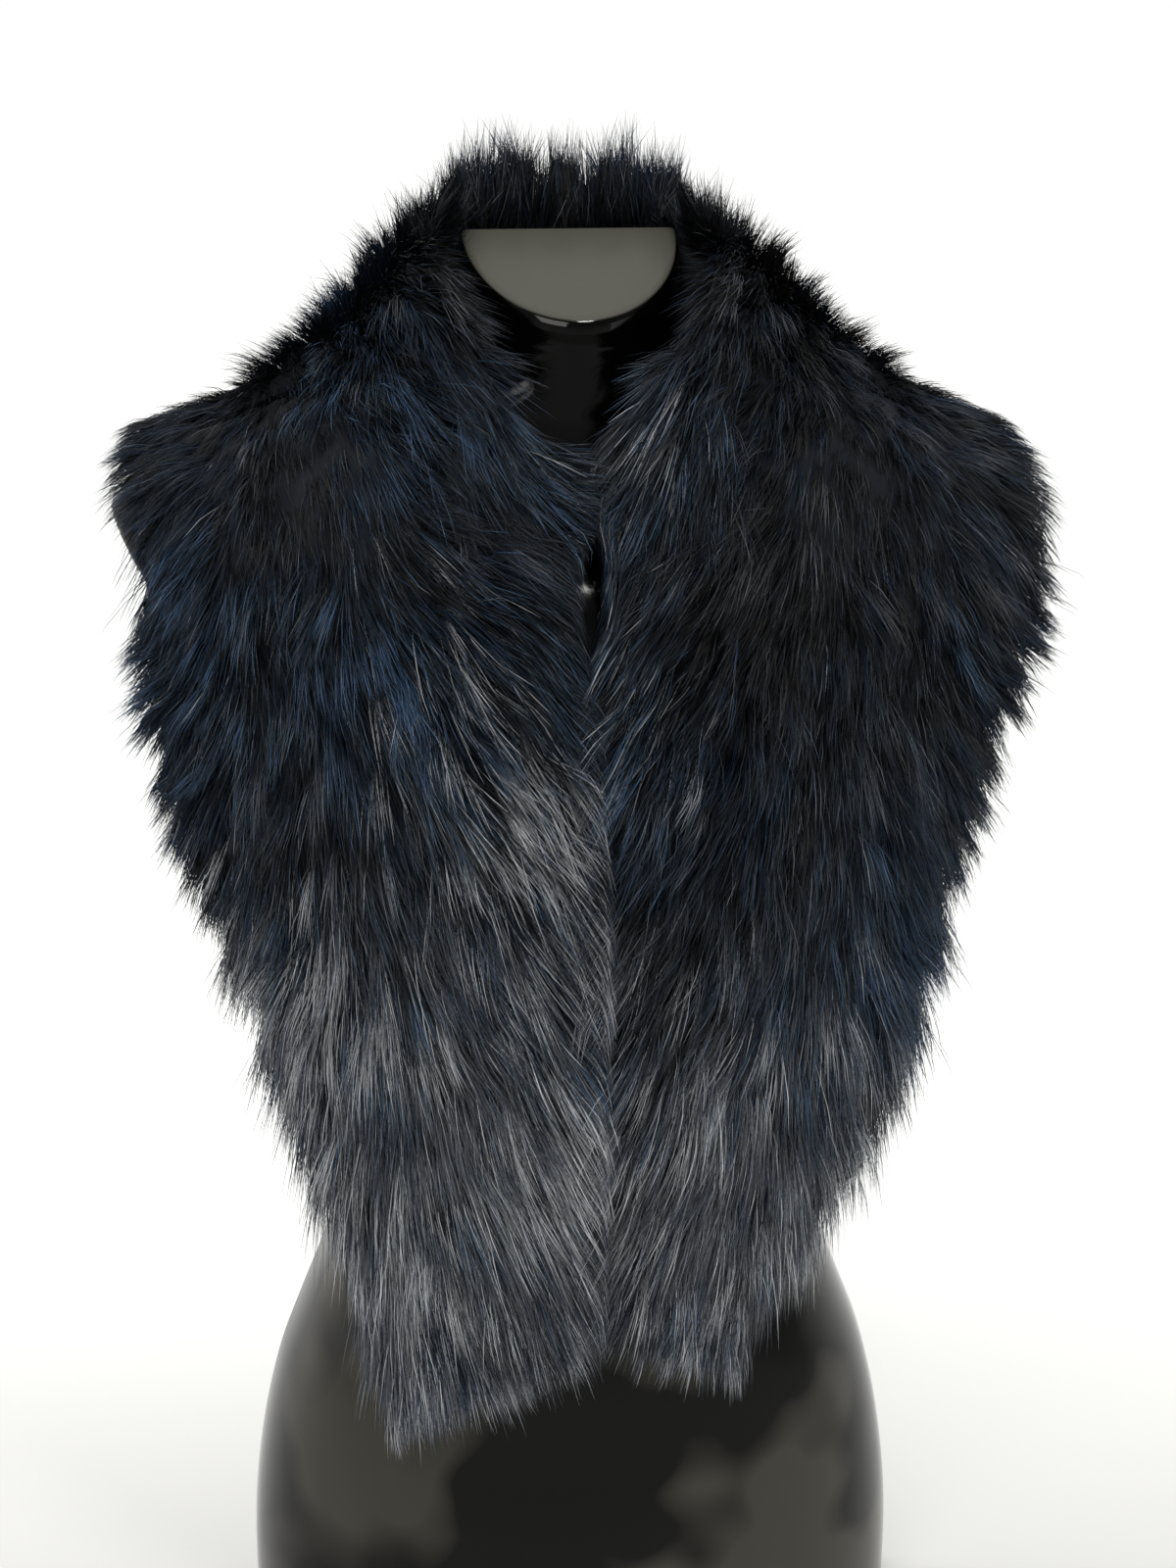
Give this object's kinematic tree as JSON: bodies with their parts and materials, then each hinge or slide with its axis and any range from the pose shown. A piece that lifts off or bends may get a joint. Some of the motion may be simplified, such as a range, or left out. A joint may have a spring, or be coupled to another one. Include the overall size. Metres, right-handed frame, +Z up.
{
  "type": "fur collar wrap on a half-round torso display form",
  "caption": "Long-haired fur collar wrap whose two tails hang down the front of a glossy limbless half-round torso form with a flat back.",
  "frame": {"origin": "bottom centre of the whole part's box, on the plane of the torso form's base", "axes": "+Z up, -Y towards the front that the tails hang down, +X to the right as seen from the front; left and right in node names are as seen from the front"},
  "size_m": [0.405, 0.2084, 0.6907],
  "materials": {
    "fur": "long dyed fox-type fur, near black with navy sheen and slate-grey guard hairs",
    "torso_gloss": "high-gloss black moulded plastic"
  },
  "bodies": {
    "root": {"display_torso": "torso_gloss", "neck_fur_left": "fur", "neck_fur_right": "fur", "front_fur_left": "fur", "front_fur_right": "fur"}
  },
  "joints": []
}
